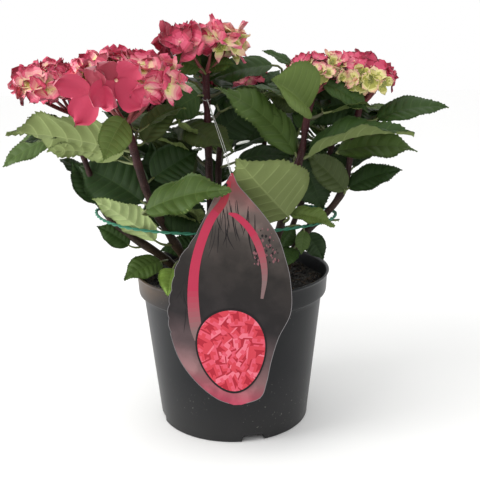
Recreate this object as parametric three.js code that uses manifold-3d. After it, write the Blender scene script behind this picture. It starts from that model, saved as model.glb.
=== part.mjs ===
// Potted hydrangea shrub: a round nursery pot, its peat, the woody stems, the
// masses of leaves, the flower heads, a hanging card and the loop that ties
// the stems together.
// Millimetres, +Z up. The origin is the centre of the pot's flat underside.
// -Y is the front and +X is the right-hand side seen from the front.

import * as THREE from 'three';
import { mergeVertices } from 'three/addons/utils/BufferGeometryUtils.js';
import Module from 'manifold-3d';

const wasm = await Module();
wasm.setup();

// ---------------------------------------------------------------- dimensions

const GAP = 0.4;              // clearance kept between neighbouring pieces
const AROUND = 24;            // facets round the pot and the peat
const LIMB_SIDES = 6;         // facets round a stem

const POT = {
  height: 180,
  rimRadius: 113,
  collarRadius: 111,          // outside of the collar, under the rolled lip
  collarFoot: 109.5,          // outside of the collar at its lower edge
  collarHeight: 25,
  wallTop: 104.5,             // outside of the wall just under the collar
  footRadius: 87,
  wall: 1.8,
  floor: 2.2,
  lip: 3.2,                   // height of the rolled lip
  notchWidth: 24,
  notchHeight: 6,
  notchDepth: 7,
  notches: 4,
  notchTurn: 14               // degrees that the front notch sits to the right
};

const PEAT = {
  level: 166,                 // mean height of the surface
  slope: 0.035,               // the surface falls towards the right
  roughness: 2.2
};

const STEM_FOOT = 154;        // every stem stands a little way into the peat

const CARD = {
  thickness: 1.0,
  tip: [1, -92, 306],         // upper point, where the thread holds the card
  lean: 10.5,                 // degrees that the card leans back at the top
  length: 241
};

const LOOP = {
  radius: 1.5,
  sides: 5,
  steps: 22,
  centre: [-18, 8],
  halfWidth: 139,
  halfDepth: 62,
  left: 248,                  // height at the left, front and right
  front: 233,
  right: 241
};

const LEAF = { sides: 6, rings: 5, thickness: 24 };
const HEAD = { sides: 10, rings: 6 };

// ------------------------------------------------------------------- colours

const colours = {
  pot: { color: 0x2b2d31, roughness: 0.5 },
  peat: { color: 0x1b1512, roughness: 1.0 },
  stem: { color: 0x3b1c20, roughness: 0.6 },
  leaves: { color: 0x35592a, roughness: 0.6 },
  paleLeaves: { color: 0x8fa873, roughness: 0.7 },
  bloom: { color: 0xc93a63, roughness: 0.7 },
  youngBloom: { color: 0xb9b95a, roughness: 0.7 },
  card: { color: 0x3a3538, roughness: 0.35 },
  loop: { color: 0x1f5a45, roughness: 0.5 },
  thread: { color: 0xd8dcd8, roughness: 0.3 }
};

const shrub = new THREE.Group();

function add(name, geometry, finish) {
  const material = new THREE.MeshStandardMaterial({ metalness: 0, ...finish });
  const mesh = new THREE.Mesh(geometry, material);
  mesh.name = name;
  shrub.add(mesh);
}

// ------------------------------------------------------------ shared helpers

const radians = THREE.MathUtils.degToRad;

// A repeatable value from -1 to 1 for a place and a seed.
function uneven(x, y, z, seed) {
  const wave = Math.sin(x * 12.99 + y * 78.23 + z * 37.72 + seed * 4.13) * 43758.55;
  return 2 * (wave - Math.floor(wave)) - 1;
}

// The unit direction of an azimuth (from +X towards +Y) and a rise, in degrees.
function heading(azimuth, rise) {
  const flat = Math.cos(radians(rise));
  return new THREE.Vector3(
    flat * Math.cos(radians(azimuth)),
    flat * Math.sin(radians(azimuth)),
    Math.sin(radians(rise))
  );
}

function toSolid(geometry) {
  const bare = geometry.clone();
  bare.deleteAttribute('normal');
  bare.deleteAttribute('uv');
  const merged = mergeVertices(bare, 1e-4);
  return new wasm.Manifold(new wasm.Mesh({
    numProp: 3,
    vertProperties: Float32Array.from(merged.attributes.position.array),
    triVerts: Uint32Array.from(merged.index.array)
  }));
}

function toGeometry(solid) {
  const mesh = solid.getMesh();
  const geometry = new THREE.BufferGeometry();
  geometry.setAttribute('position', new THREE.BufferAttribute(mesh.vertProperties, 3));
  geometry.setIndex(new THREE.BufferAttribute(mesh.triVerts, 1));
  return geometry;
}

// The largest body that is left of a solid after its neighbours are cut away.
function largestBody(solid) {
  const bodies = solid.decompose();
  return bodies.reduce((best, body) => (body.volume() > best.volume() ? body : best));
}

function cutAll(solid, neighbours) {
  let rest = solid;
  for (const neighbour of neighbours) {
    rest = rest.subtract(neighbour);
  }
  return largestBody(rest);
}

// A tapering tube through a curve: open with flat ends, or closed on itself.
function limb(curve, startRadius, endRadius, sides, steps, closed) {
  const frames = curve.computeFrenetFrames(steps, closed);
  const rings = closed ? steps : steps + 1;
  const positions = [];
  const faces = [];
  for (let i = 0; i < rings; i += 1) {
    const share = i / steps;
    const centre = curve.getPointAt(share);
    const radius = startRadius + (endRadius - startRadius) * share;
    for (let j = 0; j < sides; j += 1) {
      const turn = (2 * Math.PI * j) / sides;
      const rim = centre.clone()
        .addScaledVector(frames.normals[i], radius * Math.cos(turn))
        .addScaledVector(frames.binormals[i], radius * Math.sin(turn));
      positions.push(rim.x, rim.y, rim.z);
    }
  }
  for (let i = 0; i < steps; i += 1) {
    const here = i * sides;
    const there = ((i + 1) % rings) * sides;
    for (let j = 0; j < sides; j += 1) {
      const next = (j + 1) % sides;
      faces.push(here + j, here + next, there + next);
      faces.push(here + j, there + next, there + j);
    }
  }
  if (!closed) {
    const last = steps * sides;
    for (let j = 1; j < sides - 1; j += 1) {
      faces.push(0, j + 1, j);
      faces.push(last, last + j, last + j + 1);
    }
  }
  const geometry = new THREE.BufferGeometry();
  geometry.setAttribute('position', new THREE.Float32BufferAttribute(positions, 3));
  geometry.setIndex(faces);
  return geometry;
}

// ----------------------------------------------------------------------- pot

// The inside radius of the pot's tapering wall at a height.
function insideRadius(height) {
  const taperTop = POT.height - POT.collarHeight + 2;
  const share = height / taperTop;
  return POT.footRadius + (POT.wallTop - POT.footRadius) * share - POT.wall;
}

function makePot() {
  const shoulder = POT.height - POT.collarHeight;
  const profile = [
    [0, 0],
    [POT.footRadius, 0],
    [POT.wallTop, shoulder],
    [POT.collarFoot, shoulder + 2],
    [POT.collarRadius, POT.height - POT.lip],
    [POT.rimRadius, POT.height],
    [POT.collarRadius - POT.wall, POT.height],
    [POT.collarFoot - POT.wall, shoulder + 4],
    [POT.wallTop - POT.wall, shoulder + 2],
    [insideRadius(POT.floor), POT.floor],
    [0, POT.floor]
  ].map(([r, z]) => new THREE.Vector2(r, z));
  const turned = new THREE.LatheGeometry(profile, AROUND);
  turned.rotateX(Math.PI / 2);
  let solid = toSolid(turned);
  for (let i = 0; i < POT.notches; i += 1) {
    const notch = new THREE.BoxGeometry(POT.notchWidth, POT.notchDepth * 2, POT.notchHeight * 2);
    notch.translate(0, -POT.footRadius, 0);
    notch.rotateZ((2 * Math.PI * i) / POT.notches + radians(POT.notchTurn));
    solid = solid.subtract(toSolid(notch));
  }
  return toGeometry(solid);
}

// ---------------------------------------------------------------------- peat

function peatSurface(x, y) {
  const bumps = PEAT.roughness * (Math.sin(x * 0.09 + 1) * Math.cos(y * 0.11) + Math.sin(y * 0.05));
  return PEAT.level - PEAT.slope * x + bumps;
}

function makePeat(stemSolids) {
  const bottom = POT.floor + GAP;
  const bottomRadius = insideRadius(bottom) - GAP;
  const shoulder = POT.height - POT.collarHeight;
  const shoulderRadius = insideRadius(shoulder) - GAP;
  const profile = [[0, bottom], [bottomRadius, bottom], [shoulderRadius, shoulder - 2]];
  for (const share of [1, 0.5, 0]) {
    profile.push([(shoulderRadius - 0.5) * share, PEAT.level]);
  }
  const turned = new THREE.LatheGeometry(profile.map(([r, z]) => new THREE.Vector2(r, z)), AROUND);
  turned.rotateX(Math.PI / 2);
  const position = turned.attributes.position;
  for (let i = 0; i < position.count; i += 1) {
    if (position.getZ(i) > shoulder) {
      position.setZ(i, peatSurface(position.getX(i), position.getY(i)));
    }
  }
  return toGeometry(cutAll(toSolid(turned), stemSolids));
}

// --------------------------------------------------------------------- stems

// Each stem: radius at its foot, radius at its top, and the points it runs
// through from the peat to the head or tuft that it carries.
const stems = {
  stem_left_front: [5.2, 4.0, [
    [-38, 5, STEM_FOOT], [-53, -10, 189], [-89, -45, 270], [-102, -65, 330],
    [-107, -74, 356]
  ]],
  stem_left: [4.8, 3.4, [
    [-50, 20, STEM_FOOT], [-80, 10, 189], [-141, 0, 239], [-162, 0, 295],
    [-178, 0, 362]
  ]],
  stem_centre: [5.0, 3.9, [
    [-16, -2, STEM_FOOT], [-23, -10, 215], [-25, -10, 341], [-26, -10, 404]
  ]],
  stem_centre_back: [4.4, 3.2, [
    [-4, 22, STEM_FOOT], [-15, 30, 292], [-6, 62, 350], [2, 86, 380]
  ]],
  stem_back_right: [4.2, 2.8, [
    [22, 14, STEM_FOOT], [32, 32, 253], [40, 50, 310], [43, 74, 372]
  ]],
  stem_right_front: [4.8, 3.4, [
    [40, -8, STEM_FOOT], [52, -20, 219], [67, -40, 289], [76, -45, 316],
    [82, -46, 360], [90, -34, 382]
  ]],
  stem_right: [4.8, 3.5, [
    [58, 4, STEM_FOOT], [80, 0, 216], [113, 0, 245], [130, 0, 272],
    [138, 0, 326], [146, 2, 366]
  ]],
  stem_right_back: [4.2, 3.0, [
    [48, 26, STEM_FOOT], [92, 44, 262], [119, 50, 303], [127, 60, 340],
    [134, 78, 362]
  ]],
  stem_left_back: [4.2, 3.0, [
    [-30, 26, STEM_FOOT], [-62, 56, 250], [-84, 72, 310], [-98, 84, 358]
  ]]
};

function stemCurve(points) {
  return new THREE.CatmullRomCurve3(points.map((p) => new THREE.Vector3(...p)));
}

function makeStem(name, grow) {
  const [foot, top, points] = stems[name];
  return limb(stemCurve(points), foot + grow, top + grow, LIMB_SIDES, points.length * 2, false);
}

// The point on a stem's centre line at a height.
function onStem(name, height) {
  const curve = stemCurve(stems[name][2]);
  let low = 0;
  let high = 1;
  for (let i = 0; i < 24; i += 1) {
    const middle = (low + high) / 2;
    if (curve.getPointAt(middle).z < height) {
      low = middle;
    } else {
      high = middle;
    }
  }
  return curve.getPointAt(low);
}

// -------------------------------------------------------------- flower heads

// Each head: centre, half width, height over the centre and depth under it.
const heads = {
  head_far_left: { centre: [-195, 0, 391], radius: 47, over: 32, under: 20, finish: colours.bloom },
  head_left_front: { centre: [-106, -80, 396], radius: 64, over: 40, under: 26, finish: colours.bloom },
  head_top: { centre: [-30, -10, 431], radius: 52, over: 32, under: 18, finish: colours.bloom },
  head_centre_back: { centre: [4, 100, 392], radius: 43, over: 24, under: 16, finish: colours.bloom },
  head_right_inner: { centre: [96, -6, 400], radius: 37, over: 26, under: 14, finish: colours.youngBloom },
  head_right: { centre: [148, 8, 393], radius: 45, over: 33, under: 25, finish: colours.bloom },
  head_right_back: { centre: [138, 98, 380], radius: 44, over: 26, under: 16, finish: colours.bloom },
  head_left_back: { centre: [-104, 98, 378], radius: 46, over: 26, under: 18, finish: colours.bloom }
};

// A bumpy dome, domed more above its centre than under it.
function makeHead(name, grow) {
  const { centre, radius, over, under } = heads[name];
  const ball = new THREE.SphereGeometry(1, HEAD.sides, HEAD.rings);
  ball.rotateX(Math.PI / 2);
  const position = ball.attributes.position;
  for (let i = 0; i < position.count; i += 1) {
    const [x, y, z] = [position.getX(i), position.getY(i), position.getZ(i)];
    const key = [Math.round(x * 50), Math.round(y * 50), Math.round(z * 50)];
    const bump = 1 + 0.07 * uneven(...key, radius + over);
    const tall = z > 0 ? over : under;
    position.setXYZ(
      i,
      centre[0] + x * (radius * bump + grow),
      centre[1] + y * (radius * bump + grow),
      centre[2] + z * (tall * bump + grow)
    );
  }
  return ball;
}

// ----------------------------------------------------------- masses of leaves

// Each mass: its finish and its lobes. A lobe starts on a stem at a height and
// has an azimuth and a rise in degrees, a reach and a width.
const masses = {
  leaves_far_left: [colours.paleLeaves, [
    ['stem_left_front', 326, 165, 8, 155, 74],
    ['stem_left', 322, 172, -15, 96, 46],
    ['stem_left', 330, 120, 5, 70, 50]
  ]],
  leaves_left: [colours.leaves, [
    ['stem_left_front', 262, 148, 27, 100, 74],
    ['stem_left', 256, 130, 45, 70, 52],
    ['stem_left', 262, 95, 20, 70, 56]
  ]],
  leaves_left_low: [colours.paleLeaves, [
    ['stem_left_front', 222, 197, 38, 88, 50],
    ['stem_left', 214, 178, 32, 62, 34],
    ['stem_left_front', 214, 130, 20, 70, 50]
  ]],
  leaves_pot_left: [colours.leaves, [
    ['stem_left', 194, 215, -4, 74, 40],
    ['stem_left_front', 200, 252, -7, 108, 34]
  ]],
  leaves_left_front: [colours.leaves, [
    ['stem_left_front', 344, 222, -30, 56, 34],
    ['stem_left_front', 340, 25, 22, 86, 56],
    ['stem_left_front', 334, 80, 14, 84, 60]
  ]],
  leaves_left_inner: [colours.leaves, [
    ['stem_left_front', 286, 38, 12, 78, 62],
    ['stem_centre', 290, 168, 20, 74, 60]
  ]],
  leaves_front: [colours.leaves, [
    ['stem_left_front', 254, -14, 12, 108, 50]
  ]],
  leaves_centre_low: [colours.leaves, [
    ['stem_centre', 226, 190, 24, 62, 60],
    ['stem_centre', 220, -12, 20, 66, 56]
  ]],
  leaves_centre: [colours.leaves, [
    ['stem_centre', 338, -30, -8, 62, 46],
    ['stem_centre', 322, 196, 14, 64, 44],
    ['stem_centre', 352, 40, 10, 66, 56]
  ]],
  leaves_centre_top: [colours.leaves, [
    ['stem_centre', 402, 165, 24, 48, 40],
    ['stem_centre', 384, 28, 12, 78, 52],
    ['stem_centre', 386, 120, 4, 66, 52]
  ]],
  leaves_centre_right: [colours.leaves, [
    ['stem_right_front', 318, 178, 38, 118, 54],
    ['stem_right_front', 322, 110, 22, 74, 60]
  ]],
  leaves_big_pale: [colours.paleLeaves, [
    ['stem_right_front', 240, 226, 42, 118, 76]
  ]],
  leaves_right_top: [colours.leaves, [
    ['stem_right_front', 362, 205, 40, 66, 64],
    ['stem_right_front', 356, 10, 12, 78, 62],
    ['stem_right_front', 362, 120, 10, 74, 60]
  ]],
  leaves_right: [colours.leaves, [
    ['stem_right_front', 316, -8, 12, 120, 52],
    ['stem_right', 316, -10, 0, 84, 48],
    ['stem_right', 330, 60, 8, 84, 56]
  ]],
  leaves_far_right: [colours.leaves, [
    ['stem_right', 350, 0, 8, 108, 54],
    ['stem_right', 352, 60, 4, 80, 52]
  ]],
  leaves_right_mid: [colours.leaves, [
    ['stem_right', 270, -10, 18, 70, 46],
    ['stem_right', 270, 190, 42, 70, 46],
    ['stem_right', 272, 80, 20, 78, 56]
  ]],
  leaves_right_low: [colours.leaves, [
    ['stem_right_front', 236, -22, -10, 62, 42],
    ['stem_right', 224, 40, -10, 50, 50],
    ['stem_right', 218, -60, -24, 42, 34]
  ]],
  leaves_back_left: [colours.leaves, [
    ['stem_left_back', 312, 165, 8, 112, 66],
    ['stem_left_back', 318, 95, 12, 122, 70],
    ['stem_left_back', 330, 30, 10, 76, 60]
  ]],
  leaves_back_left_low: [colours.leaves, [
    ['stem_left_back', 246, 140, 16, 104, 66],
    ['stem_left_back', 240, 60, 16, 90, 62]
  ]],
  leaves_back_centre: [colours.leaves, [
    ['stem_centre_back', 352, 118, 6, 122, 68],
    ['stem_centre_back', 346, 55, 4, 112, 66],
    ['stem_back_right', 330, 80, 6, 88, 60]
  ]],
  leaves_back_low: [colours.leaves, [
    ['stem_centre_back', 250, 95, 14, 112, 70],
    ['stem_back_right', 246, 50, 16, 100, 66]
  ]],
  leaves_back_right: [colours.leaves, [
    ['stem_right_back', 318, 100, 6, 126, 70],
    ['stem_right_back', 322, 40, 8, 108, 66],
    ['stem_right_back', 312, 150, 8, 76, 56]
  ]],
  leaves_back_right_low: [colours.leaves, [
    ['stem_right_back', 262, 75, 8, 92, 64],
    ['stem_right_back', 256, 15, 10, 72, 54]
  ]]
};

// A thick, pointed leaf-shaped lobe from its foot on a stem to its tip.
function makeLobe([stem, height, azimuth, rise, reach, width], seed, grow) {
  const ball = new THREE.SphereGeometry(1, LEAF.sides, LEAF.rings);
  ball.rotateZ(-Math.PI / 2);
  const foot = onStem(stem, height);
  const along = heading(azimuth, rise);
  const across = heading(azimuth + 90, 0);
  const up = new THREE.Vector3().crossVectors(along, across);
  const position = ball.attributes.position;
  const spot = new THREE.Vector3();
  for (let i = 0; i < position.count; i += 1) {
    const [x, y, z] = [position.getX(i), position.getY(i), position.getZ(i)];
    const key = [Math.round(x * 50), Math.round(y * 50), Math.round(z * 50)];
    const bump = Math.abs(x) > 0.99 ? 0 : 0.12 * uneven(...key, seed);
    const broad = (width / 2) * (1.12 - 0.3 * x) * (1 + bump) + grow;
    const thick = (LEAF.thickness / 2) * (1.1 - 0.25 * x) * (1 + bump) + grow;
    const distance = reach * 0.5 + x * (reach * 0.5 + grow) - 0.03 * reach * (1 - x);
    spot.copy(foot)
      .addScaledVector(along, distance)
      .addScaledVector(across, y * broad)
      .addScaledVector(up, z * thick - 0.04 * reach * x * x * x);
    position.setXYZ(i, spot.x, spot.y, spot.z);
  }
  return ball;
}

function makeMass(name, grow) {
  const lobes = masses[name][1];
  return lobes
    .map((lobe, i) => toSolid(makeLobe(lobe, i + name.length, grow)))
    .reduce((joined, lobe) => joined.add(lobe));
}

// -------------------------------------------------- card, thread and the loop

// Half widths of the card, left and right of the line under its upper point,
// at shares of its length.
const cardStations = [
  [0.00, 1, 1],
  [0.05, 8, 6],
  [0.10, 18, 16],
  [0.18, 28, 32],
  [0.27, 40, 46],
  [0.37, 57, 54],
  [0.47, 64, 59],
  [0.60, 69, 59],
  [0.71, 65, 46],
  [0.81, 56, 38],
  [0.90, 40, 33],
  [0.97, 20, 26]
];

function makeCard(grow) {
  const left = cardStations.map(([share, l]) => {
    return new THREE.Vector2(-l - grow, -share * CARD.length);
  });
  const right = cardStations.map(([share, , r]) => new THREE.Vector2(r + grow, -share * CARD.length));
  const foot = new THREE.Vector2(2, -CARD.length - grow);
  const outline = new THREE.SplineCurve([...left, foot, ...right.reverse()]).getPoints(28);
  const thickness = CARD.thickness + 2 * grow;
  const card = new THREE.ExtrudeGeometry(new THREE.Shape(outline), {
    depth: thickness,
    bevelEnabled: false
  });
  card.translate(0, grow, -thickness / 2);
  card.rotateX(radians(90 - CARD.lean));
  card.translate(...CARD.tip);
  return card;
}

function makeLoop(grow) {
  const points = [];
  for (let i = 0; i < 16; i += 1) {
    const turn = (2 * Math.PI * i) / 16;
    const side = Math.cos(turn);
    const front = Math.max(0, -Math.sin(turn));
    const level = side < 0 ? LOOP.left : LOOP.right;
    points.push(new THREE.Vector3(
      LOOP.centre[0] + LOOP.halfWidth * side,
      LOOP.centre[1] + LOOP.halfDepth * Math.sin(turn),
      level - (level - LOOP.front) * front
    ));
  }
  const curve = new THREE.CatmullRomCurve3(points, true);
  return limb(curve, LOOP.radius + grow, LOOP.radius + grow, LOOP.sides, LOOP.steps, true);
}

const THREAD = {
  radius: 0.7,
  points: [[-25, -17, 376], [-14, -52, 352], [0, -84, 322], [0, -93.5, 308]]
};

function makeThread(grow) {
  const curve = stemCurve(THREAD.points);
  return limb(curve, THREAD.radius + grow, THREAD.radius + grow, 5, 6, false);
}

// ------------------------------------------------------------------ assembly

const stemNames = Object.keys(stems);
const headNames = Object.keys(heads);
const wideStems = stemNames.map((name) => toSolid(makeStem(name, GAP)));
const wideTrim = [makeCard(GAP), makeLoop(GAP), makeThread(GAP)].map(toSolid);
const wideHeads = headNames.map((name) => toSolid(makeHead(name, GAP)));

add('pot', makePot(), colours.pot);
add('peat', makePeat(wideStems), colours.peat);

for (const name of stemNames) {
  add(name, makeStem(name, 0), colours.stem);
}

// Every head and mass gives way to the stems and to what was placed before it.
const taken = [...wideStems, ...wideTrim];
for (const [i, name] of headNames.entries()) {
  add(name, toGeometry(cutAll(toSolid(makeHead(name, 0)), taken)), heads[name].finish);
  taken.push(wideHeads[i]);
}

for (const name of Object.keys(masses)) {
  add(name, toGeometry(cutAll(makeMass(name, 0), taken)), masses[name][0]);
  taken.push(makeMass(name, GAP));
}

add('card', makeCard(0), colours.card);
add('tie_loop', makeLoop(0), colours.loop);
add('card_thread', makeThread(0), colours.thread);

export default shrub;
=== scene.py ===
# Looks of a potted hydrangea shrub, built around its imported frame.
# Metres, +Z up, -Y is the front.
import math
import bpy
import numpy as np
from mathutils import Matrix, Vector


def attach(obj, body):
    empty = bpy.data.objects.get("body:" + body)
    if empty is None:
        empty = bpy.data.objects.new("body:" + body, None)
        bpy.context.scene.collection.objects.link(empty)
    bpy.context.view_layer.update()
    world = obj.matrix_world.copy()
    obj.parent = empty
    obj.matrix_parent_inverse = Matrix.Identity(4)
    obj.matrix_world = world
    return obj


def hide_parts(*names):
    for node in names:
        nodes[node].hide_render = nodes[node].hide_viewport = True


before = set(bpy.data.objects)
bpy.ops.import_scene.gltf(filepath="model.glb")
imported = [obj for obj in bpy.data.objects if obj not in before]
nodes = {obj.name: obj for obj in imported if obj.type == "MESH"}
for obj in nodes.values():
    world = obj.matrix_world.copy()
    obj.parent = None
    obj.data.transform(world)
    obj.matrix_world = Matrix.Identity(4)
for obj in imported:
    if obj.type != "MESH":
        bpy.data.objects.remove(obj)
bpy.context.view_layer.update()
print("frame loaded:", len(nodes), "nodes")


def heading(azimuth, rise):
    a, r = math.radians(azimuth), math.radians(rise)
    return np.array([math.cos(r) * math.cos(a), math.cos(r) * math.sin(a), math.sin(r)])


def unit(v):
    return v / max(float(np.linalg.norm(v)), 1e-9)


def gridFaces(rows, columns):
    # quads of a grid of vertices, rows first
    i, j = np.meshgrid(np.arange(rows - 1), np.arange(columns - 1), indexing="ij")
    a = (i * columns + j).ravel()
    return np.stack([a, a + columns, a + columns + 1, a + 1], axis=1)


def ringFaces(rows, sides):
    # the same for rows that close on themselves
    i, j = np.meshgrid(np.arange(rows - 1), np.arange(sides), indexing="ij")
    a, b = (i * sides + j).ravel(), (i * sides + (j + 1) % sides).ravel()
    return np.stack([a, b, b + sides, a + sides], axis=1)


def bowed(start, pull, end, count):
    # points of a curve that is drawn towards a third point
    k = np.linspace(0, 1, count)[:, None]
    return (1 - k) ** 2 * start + 2 * k * (1 - k) * pull + k ** 2 * end


class Heap:
    # gathers many small shapes, so that they become one joined mesh
    def __init__(self):
        self.points, self.quads, self.slots, self.count = [], [], [], 0

    def put(self, points, quads, slots):
        self.points.append(points)
        self.quads.append(quads + self.count)
        self.slots.append(np.broadcast_to(slots, len(quads)))
        self.count += len(points)

    def putTube(self, path, radii, sides, slot):
        self.put(*tube(path, radii, sides), slot)

    def mesh(self, name, materials, smooth=True):
        points = np.concatenate(self.points)
        quads = np.concatenate(self.quads)
        used, index = np.unique(np.concatenate(self.slots), return_inverse=True)
        triangle = quads[:, 2] == quads[:, 3]
        sizes = np.where(triangle, 3, 4)
        keep = np.ones(quads.shape, bool)
        keep[triangle, 3] = False
        loops = quads[keep]
        mesh = bpy.data.meshes.new(name)
        mesh.vertices.add(len(points))
        mesh.vertices.foreach_set("co", points.astype(np.float32).ravel())
        mesh.loops.add(len(loops))
        mesh.loops.foreach_set("vertex_index", loops.astype(np.int32))
        mesh.polygons.add(len(quads))
        mesh.polygons.foreach_set("loop_start", (np.cumsum(sizes) - sizes).astype(np.int32))
        mesh.polygons.foreach_set("loop_total", sizes.astype(np.int32))
        for slot in used.tolist():
            mesh.materials.append(materials[slot])
        mesh.polygons.foreach_set("material_index", index.astype(np.int32))
        mesh.polygons.foreach_set("use_smooth", np.full(len(quads), smooth))
        mesh.update(calc_edges=True)
        mesh.validate()
        piece = bpy.data.objects.new(name, mesh)
        bpy.context.scene.collection.objects.link(piece)
        return piece


def settle(piece, slot, *stood):
    # the piece rides with the plant and stands for these solids
    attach(piece, "root")
    if stood:
        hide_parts(*stood)


def tube(path, radii, sides):
    # a closed tube through points, with one radius for each
    path = np.asarray(path, float)
    radii = np.broadcast_to(radii, len(path))
    along = np.gradient(path, axis=0)
    along /= np.linalg.norm(along, axis=1, keepdims=True)
    side = unit(np.cross(along[0], [0.31, 0.17, 0.93]))
    turns = np.linspace(0, 2 * math.pi, sides, endpoint=False)
    rings = []
    for centre, direction, radius in zip(path, along, radii):
        side = unit(side - direction * np.dot(side, direction))
        other = np.cross(direction, side)
        rings.append(centre + radius * (np.outer(np.cos(turns), side) + np.outer(np.sin(turns), other)))
    points = np.concatenate([*rings, path[:1], path[-1:]])
    first, last, end = len(points) - 2, len(points) - 1, (len(path) - 1) * sides
    k = np.arange(sides)
    n = (k + 1) % sides
    foot = np.stack([np.full(sides, first), n, k, k], axis=1)
    top = np.stack([np.full(sides, last), end + k, end + n, end + n], axis=1)
    return points, np.concatenate([ringFaces(len(path), sides), foot, top])


def principled(name, colour, roughness, bump=None, stretch=(1, 1, 1), **inputs):
    # one shader with these inputs, and fine relief if asked for
    # bump: how fine the relief of the skin is, how deep (m) and how strong
    material = bpy.data.materials.new(name)
    material.use_nodes = True
    tree = material.node_tree
    shader = tree.nodes["Principled BSDF"]
    for key, value in {"Base Color": (*colour, 1), "Roughness": roughness, **inputs}.items():
        shader.inputs[key].default_value = value
    if bump:
        mapping = tree.nodes.new("ShaderNodeMapping")
        mapping.inputs["Scale"].default_value = stretch
        relief = tree.nodes.new("ShaderNodeBump")
        relief.inputs["Distance"].default_value = bump[1]
        relief.inputs["Strength"].default_value = bump[2]
        tree.links.new(tree.nodes.new("ShaderNodeTexCoord").outputs["Object"], mapping.inputs["Vector"])
        tree.links.new(noise(tree, mapping.outputs["Vector"], bump[0], 3), relief.inputs["Height"])
        paint(tree, relief.outputs["Normal"], "Normal")
    return material


def specular(level):
    return {"Specular IOR Level": level}


def paint(tree, source, socket="Base Color"):
    tree.links.new(source, tree.nodes["Principled BSDF"].inputs[socket])


def ramp(tree, source, stops):
    node = tree.nodes.new("ShaderNodeValToRGB")
    while len(node.color_ramp.elements) < len(stops):
        node.color_ramp.elements.new(0.5)
    for element, (place, colour) in zip(node.color_ramp.elements, stops):
        element.position = place
        element.color = (*colour, 1)
    tree.links.new(source, node.inputs["Fac"])
    return node.outputs["Color"]


def plug(tree, socket, value):
    # a link, a number or a plain colour into a socket
    if isinstance(value, bpy.types.NodeSocket):
        tree.links.new(value, socket)
    else:
        socket.default_value = (*value, 1) if isinstance(value, tuple) else value


def mixColours(tree, factor, first, second, blend="MIX"):
    # sockets 6, 7 and 2 are the colours and the result of this node
    node = tree.nodes.new("ShaderNodeMix")
    node.data_type = "RGBA"
    node.blend_type = blend
    plug(tree, node.inputs[0], factor)
    plug(tree, node.inputs[6], first)
    plug(tree, node.inputs[7], second)
    return node.outputs[2]


def combine(tree, first, second, operation="MULTIPLY"):
    node = tree.nodes.new("ShaderNodeMath")
    node.operation = operation
    plug(tree, node.inputs[0], first)
    plug(tree, node.inputs[1], second)
    return node.outputs[0]


def noise(tree, vector, scale, detail):
    node = tree.nodes.new("ShaderNodeTexNoise")
    node.inputs["Scale"].default_value = scale
    node.inputs["Detail"].default_value = detail
    tree.links.new(vector, node.inputs["Vector"])
    return node.outputs["Fac"]


def mask(tree, place, scale, detail, low, high):
    # white patches of noise on black
    return ramp(tree, noise(tree, place, scale, detail), [(low, (0, 0, 0)), (high, (1, 1, 1))])


def rescale(tree, value, low, high, toLow=0.0, toHigh=1.0):
    node = tree.nodes.new("ShaderNodeMapRange")
    for key, limit in {"From Min": low, "From Max": high, "To Min": toLow, "To Max": toHigh}.items():
        node.inputs[key].default_value = limit
    tree.links.new(value, node.inputs["Value"])
    return node.outputs["Result"]


def spaceOf(tree):
    # the place on the piece, and its x and z apart
    place = tree.nodes.new("ShaderNodeTexCoord").outputs["Object"]
    split = tree.nodes.new("ShaderNodeSeparateXYZ")
    tree.links.new(place, split.inputs["Vector"])
    return place, split.outputs["X"], split.outputs["Z"]


# leaf tones: upper face, veins seen from above, lower face, veins seen from below
leafTones = {
    "deep": [(0.017, 0.040, 0.009), (0.026, 0.056, 0.014), (0.082, 0.118, 0.036), (0.120, 0.160, 0.055)],
    "mid": [(0.030, 0.064, 0.013), (0.043, 0.084, 0.019), (0.132, 0.172, 0.054), (0.170, 0.215, 0.074)],
    "olive": [(0.046, 0.066, 0.018), (0.060, 0.084, 0.024), (0.105, 0.134, 0.046), (0.140, 0.175, 0.064)],
    "fresh": [(0.050, 0.088, 0.017), (0.068, 0.112, 0.026), (0.135, 0.178, 0.054), (0.176, 0.224, 0.076)],
    "pale": [(0.100, 0.150, 0.032), (0.128, 0.182, 0.045), (0.150, 0.188, 0.064), (0.196, 0.238, 0.088)],
    "lime": [(0.150, 0.240, 0.040), (0.190, 0.285, 0.060), (0.250, 0.315, 0.128), (0.300, 0.365, 0.160)],
}
leafSkin = {"upper": (0.52, 900), "lower": (0.72, 1300)}     # roughness, and how fine the relief is
toneOrder = list(leafTones)
stalkSlot = 4 * len(toneOrder)


def leafMaterials():
    materials = {}
    for n, tone in enumerate(toneOrder):
        labels = ("upper", "upperVein", "lower", "lowerVein")
        for k, (label, colour) in enumerate(zip(labels, leafTones[tone])):
            roughness, fine = leafSkin[label[:5]]
            materials[4 * n + k] = principled(f"leaf-{tone}-{label}", colour, roughness,
                                              (fine, 0.0004, 0.35), **specular(0.22))
    materials[stalkSlot] = principled("leaf-stalk", (0.120, 0.145, 0.045), 0.5, (700, 0.0003, 0.6),
                                      (1, 1, 0.3))
    return materials


# petal tones from the youngest to the ripest
petalTones = [
    ("green", (0.230, 0.250, 0.045)),
    ("lime", (0.430, 0.430, 0.085)),
    ("cream", (0.760, 0.700, 0.300)),
    ("peach", (0.820, 0.560, 0.370)),
    ("blush", (0.780, 0.330, 0.330)),
    ("pink", (0.740, 0.165, 0.240)),
    ("rose", (0.640, 0.072, 0.155)),
    ("crimson", (0.500, 0.027, 0.085)),
    ("wine", (0.310, 0.014, 0.042)),
]
petalStalk = len(petalTones)


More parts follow.
